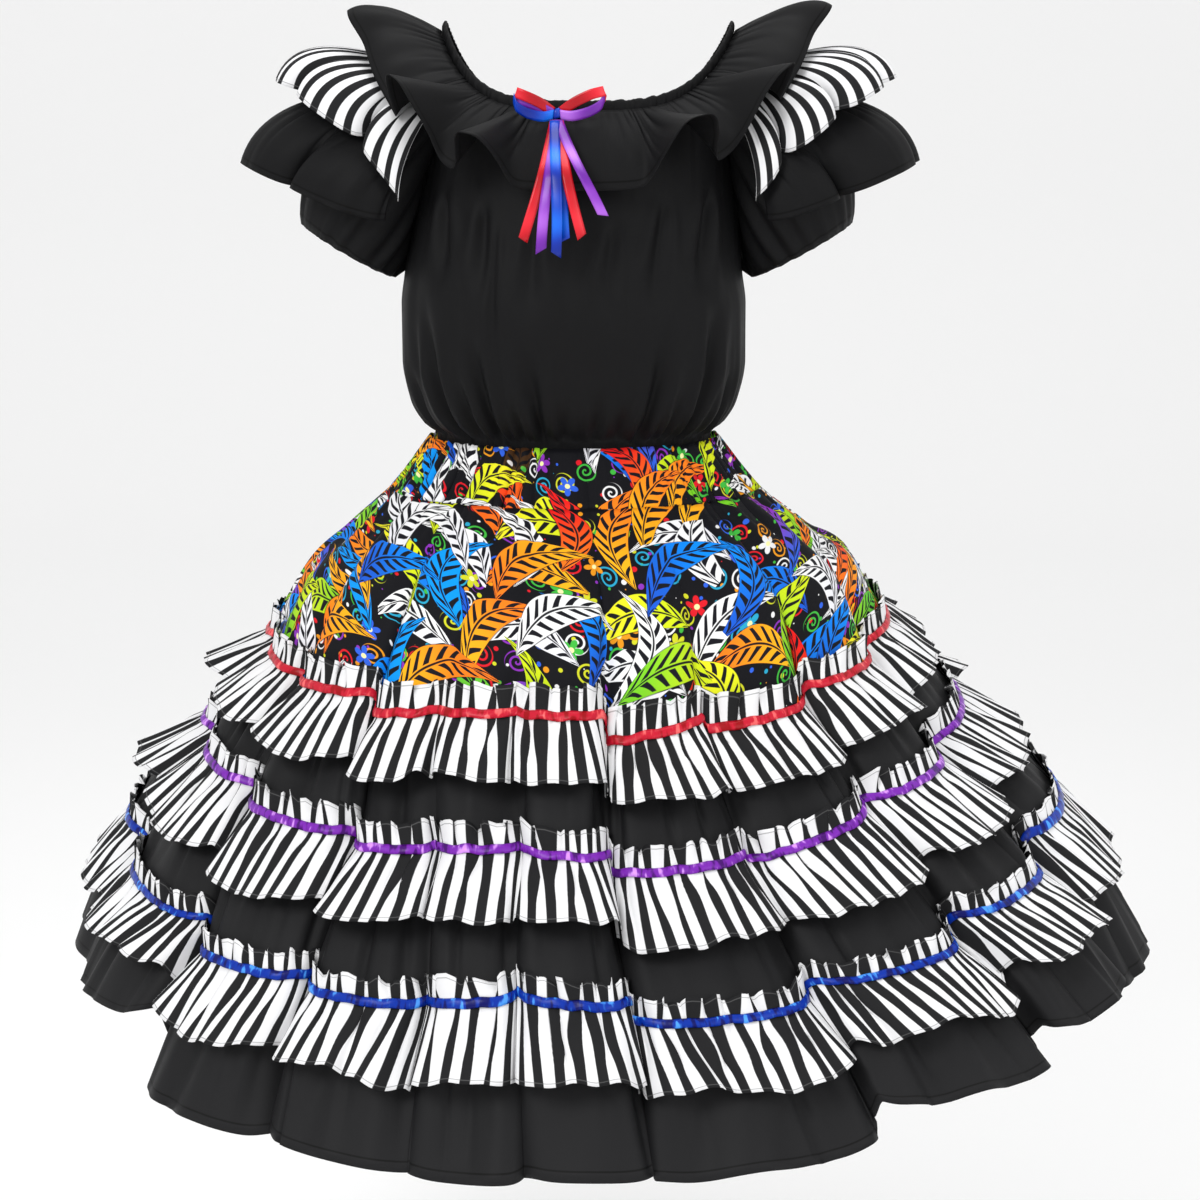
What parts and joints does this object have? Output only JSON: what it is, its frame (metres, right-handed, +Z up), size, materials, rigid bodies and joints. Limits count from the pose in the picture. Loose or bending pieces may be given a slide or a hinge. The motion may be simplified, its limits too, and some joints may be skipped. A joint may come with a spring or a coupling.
{
  "type": "square dance dress",
  "caption": "Black peasant blouse with ruffled neck and shoulders and a ribbon bow, worn with a full tiered skirt that has a printed yoke and striped, ribbon-trimmed ruffles",
  "frame": {"origin": "centre of the skirt's waist, at the upper edge of the waistband", "axes": "+Z up, front towards -Y, the wearer's left at +X"},
  "size_m": [1.0093, 1.0048, 0.9121],
  "materials": {
    "black_broadcloth": "plain weave, soft sheen",
    "striped_cotton": "plain weave with black and white stripes",
    "printed_cotton": "plain weave with a many-coloured print on black",
    "red_satin": "satin ribbon",
    "purple_satin": "satin ribbon",
    "blue_satin": "satin ribbon"
  },
  "bodies": {
    "root": {"waistband_front": "printed_cotton", "yoke_front": "printed_cotton", "tier_1_front": "black_broadcloth", "ruffle_1_front": "striped_cotton", "ribbon_1_front": "red_satin", "tier_2_front": "black_broadcloth", "ruffle_2_front": "striped_cotton", "ribbon_2_front": "purple_satin", "tier_3_front": "black_broadcloth", "ruffle_3_front": "striped_cotton", "ribbon_3_front": "blue_satin", "bodice_front": "black_broadcloth", "neck_casing_front": "black_broadcloth", "neck_ruffle_front": "black_broadcloth", "waistband_back": "printed_cotton", "yoke_back": "printed_cotton", "tier_1_back": "black_broadcloth", "ruffle_1_back": "striped_cotton", "ribbon_1_back": "red_satin", "tier_2_back": "black_broadcloth", "ruffle_2_back": "striped_cotton", "ribbon_2_back": "purple_satin", "tier_3_back": "black_broadcloth", "ruffle_3_back": "striped_cotton", "ribbon_3_back": "blue_satin", "bodice_back": "black_broadcloth", "neck_casing_back": "black_broadcloth", "neck_ruffle_back": "black_broadcloth", "sleeve_left": "black_broadcloth", "shoulder_ruffle_left": "striped_cotton", "sleeve_ruffle_left": "black_broadcloth", "sleeve_right": "black_broadcloth", "shoulder_ruffle_right": "striped_cotton", "sleeve_ruffle_right": "black_broadcloth", "bow_knot": "blue_satin", "bow_loop_left": "red_satin", "bow_loop_right": "purple_satin", "bow_tail_1": "red_satin", "bow_tail_2": "purple_satin", "bow_tail_3": "blue_satin", "bow_tail_4": "blue_satin", "bow_tail_5": "red_satin", "bow_tail_6": "purple_satin"}
  },
  "joints": []
}
